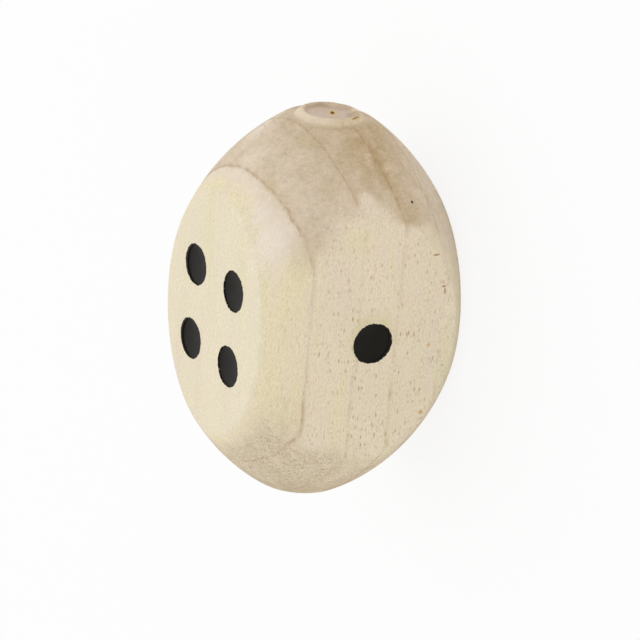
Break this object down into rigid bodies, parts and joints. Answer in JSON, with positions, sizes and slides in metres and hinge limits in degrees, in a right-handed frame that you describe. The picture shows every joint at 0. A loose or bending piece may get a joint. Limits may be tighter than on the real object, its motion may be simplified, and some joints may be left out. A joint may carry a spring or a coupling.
{
  "type": "four-sided long die",
  "caption": "Egg-shaped turned wooden die that rolls on planed flats round its long axis, with black painted pips in shallow dimples and a small parting stub on one end.",
  "frame": {"origin": "middle of the die's box on the resting face, which is the face of 2", "axes": "+X along the turning axis from the plain foot end to the stub end, +Z out of the face of 4, -Y out of the face of 1"},
  "size_m": [0.03, 0.0176, 0.0175],
  "materials": {
    "bare_wood": "fine sanded bare hardwood, pale cream, with fine pores and faint pinkish growth rings",
    "pip_paint": "satin black paint"
  },
  "bodies": {
    "root": {"wooden_body": "bare_wood", "pip_1_1": "pip_paint", "pip_2_1": "pip_paint", "pip_2_2": "pip_paint", "pip_3_1": "pip_paint", "pip_3_2": "pip_paint", "pip_3_3": "pip_paint", "pip_4_1": "pip_paint", "pip_4_2": "pip_paint", "pip_4_3": "pip_paint", "pip_4_4": "pip_paint"}
  },
  "joints": []
}
